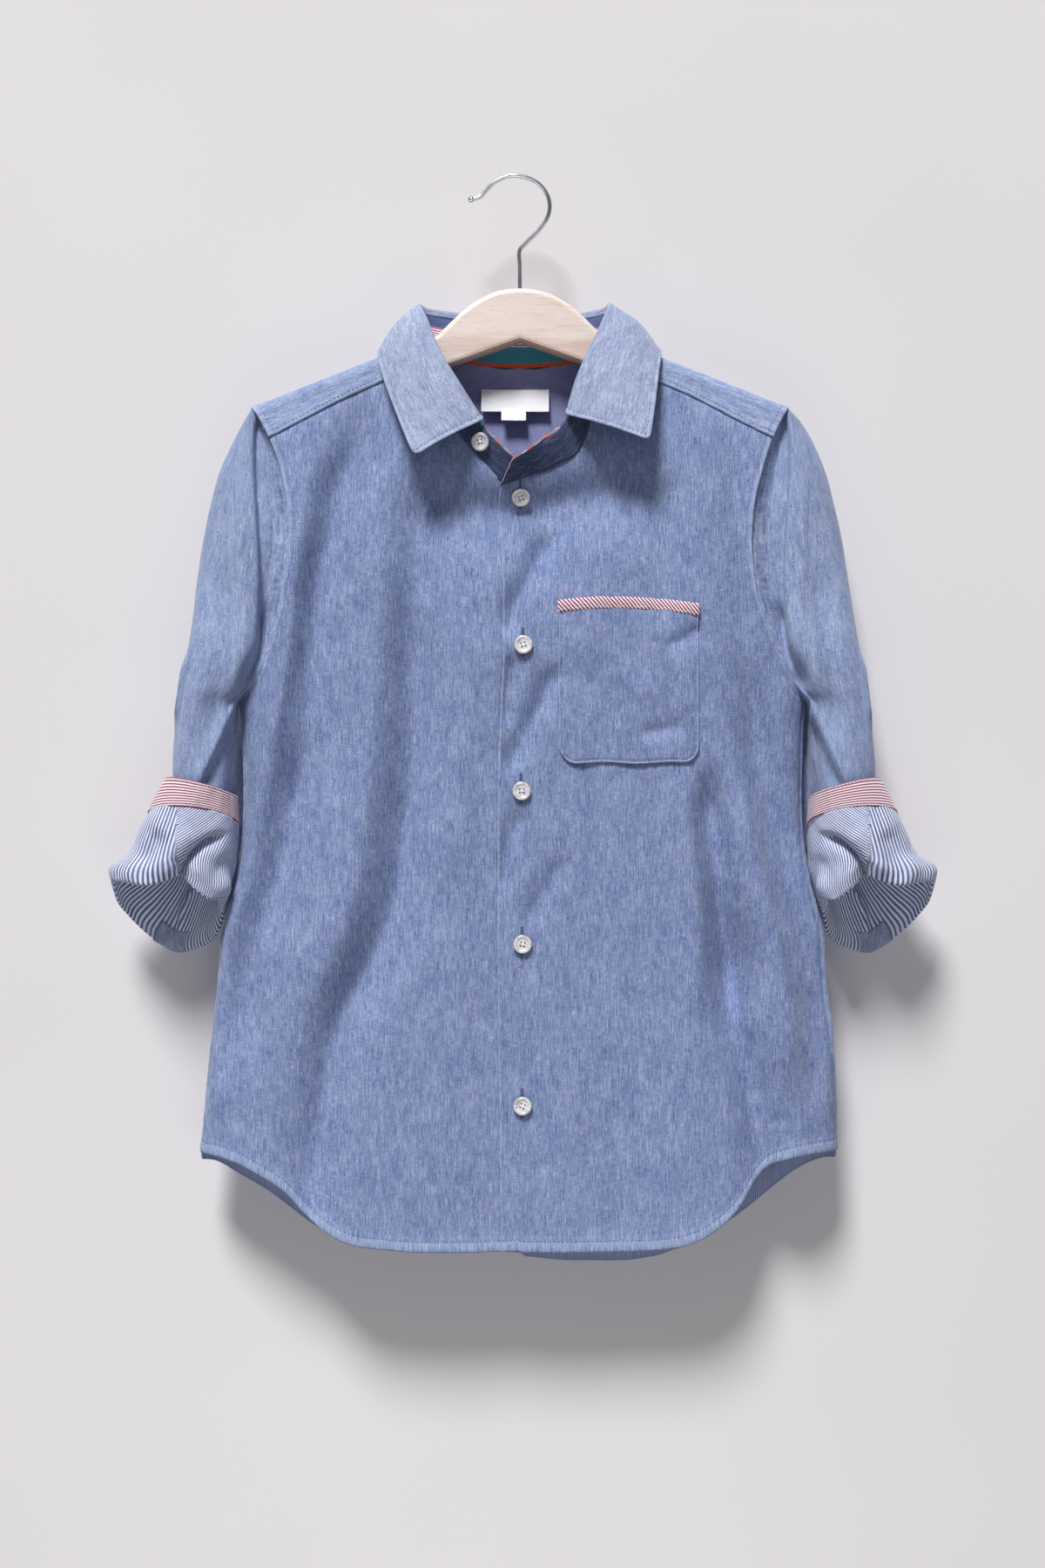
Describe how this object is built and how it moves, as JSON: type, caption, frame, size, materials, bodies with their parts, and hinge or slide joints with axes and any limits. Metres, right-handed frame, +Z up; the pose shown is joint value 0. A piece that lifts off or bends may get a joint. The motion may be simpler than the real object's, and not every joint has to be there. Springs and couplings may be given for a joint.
{
  "type": "knit shirt on a wooden hanger",
  "caption": "Child's button-front knit shirt with a point collar, a chest pocket and turned-up sleeves, on a wooden hanger with a wire hook.",
  "frame": {"origin": "the inner crown of the hanger's hook, where its wire rests on what holds it", "axes": "+Z up, along the hanging garment; +Y from the garment's front to its back; +X to the wearer's left, which is the right of the picture"},
  "size_m": [0.507, 0.0705, 0.6743],
  "materials": {
    "face_cloth": "slubbed blue cloth, matt",
    "striped_facing": "striped cloth, matt",
    "pink_stripe": "pink and white striped cloth, matt",
    "label_cloth": "white woven tape, bare",
    "button_shell": "pearly grey resin, satin gloss",
    "pale_wood": "pale sanded beech with a thin clear coat",
    "steel_wire": "bright plated wire"
  },
  "bodies": {
    "root": {"back": "face_cloth", "yoke": "face_cloth", "front_left": "face_cloth", "front_right": "face_cloth", "collar_stand": "face_cloth", "stand_facing": "striped_facing", "collar": "face_cloth", "sleeve_left": "face_cloth", "sleeve_right": "face_cloth", "cuff_band_left": "pink_stripe", "cuff_band_right": "pink_stripe", "sleeve_placket_left": "face_cloth", "sleeve_placket_right": "face_cloth", "pocket": "face_cloth", "pocket_binding": "pink_stripe", "label": "label_cloth", "size_label": "label_cloth", "button_1": "button_shell", "button_2": "button_shell", "button_3": "button_shell", "button_4": "button_shell", "button_5": "button_shell", "button_collar": "button_shell", "hanger_wood": "pale_wood", "hanger_hook": "steel_wire"}
  },
  "joints": []
}
